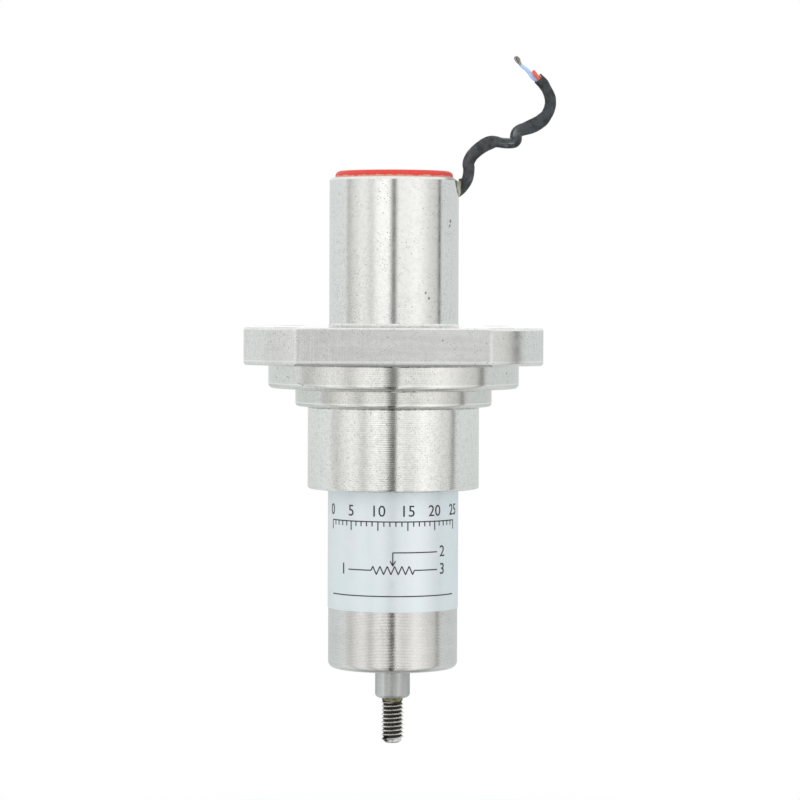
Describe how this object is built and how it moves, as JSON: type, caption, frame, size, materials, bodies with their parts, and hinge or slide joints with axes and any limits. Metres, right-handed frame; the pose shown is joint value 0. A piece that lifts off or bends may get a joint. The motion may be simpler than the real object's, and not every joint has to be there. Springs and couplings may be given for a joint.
{
  "type": "linear displacement sensor",
  "caption": "Rod-operated linear displacement sensor: a slim round body through a square flange, a sliding rod with a threaded stud, and a short cable at the rear.",
  "frame": {"origin": "centre of the flange's mounting face, on the rod's axis", "axes": "+Z along the axis to the cable end, -Z out of the mounting face and along the rod, +X to the cable's notch"},
  "size_m": [0.0525, 0.05, 0.1178],
  "materials": {
    "machined_steel": "turned and milled stainless steel",
    "ground_steel": "ground shaft",
    "stud_steel": "bright threaded steel",
    "spring_steel": "spring steel",
    "bronze": "sintered bronze",
    "wiper_metal": "precious-metal spring sheet",
    "tinned_copper": "tinned strands and pins",
    "black_rubber": "nitrile rubber",
    "black_moulding": "glass-filled moulding",
    "board_laminate": "glass laminate",
    "track_ink": "printed conductive plastic",
    "silver_label": "silvery film",
    "red_plastic": "moulded plug",
    "beige_sealant": "silicone sealant",
    "olive_sealant": "thread sealant",
    "black_sleeve": "woven sleeve",
    "blue_insulation": "wire insulation",
    "red_insulation": "wire insulation",
    "white_insulation": "wire insulation"
  },
  "bodies": {
    "housing": {"flange_body": "machined_steel", "sensor_tube": "machined_steel", "label": "silver_label", "tube_o_ring": "black_rubber", "rod_bush": "bronze", "rod_seal": "black_rubber", "front_bumper": "black_rubber", "guide_rod": "ground_steel", "element_carrier": "black_moulding", "element_board": "board_laminate", "resistive_track": "track_ink", "collector_track": "track_ink", "rear_bulkhead": "black_moulding", "bulkhead_circlip": "spring_steel", "terminal_pins": "tinned_copper", "lead_blue": "blue_insulation", "lead_red": "red_insulation", "lead_white": "white_insulation", "end_plug": "red_plastic", "cable_seal": "beige_sealant", "cable_sleeve": "black_sleeve", "wire_blue": "blue_insulation", "wire_red": "red_insulation", "wire_white": "white_insulation", "bare_strands": "tinned_copper"},
    "rod": {"rod": "ground_steel", "rod_stud": "stud_steel", "thread_sealant": "olive_sealant", "carriage": "black_moulding", "carriage_washer": "spring_steel", "carriage_nut": "stud_steel", "wiper_spring": "wiper_metal", "wiper_screws": "stud_steel"}
  },
  "joints": [
    {"name": "rod_slide", "type": "slide", "parent": "housing", "child": "rod", "axis": [0, 0, -1], "range_m": [0, 0.025]}
  ]
}
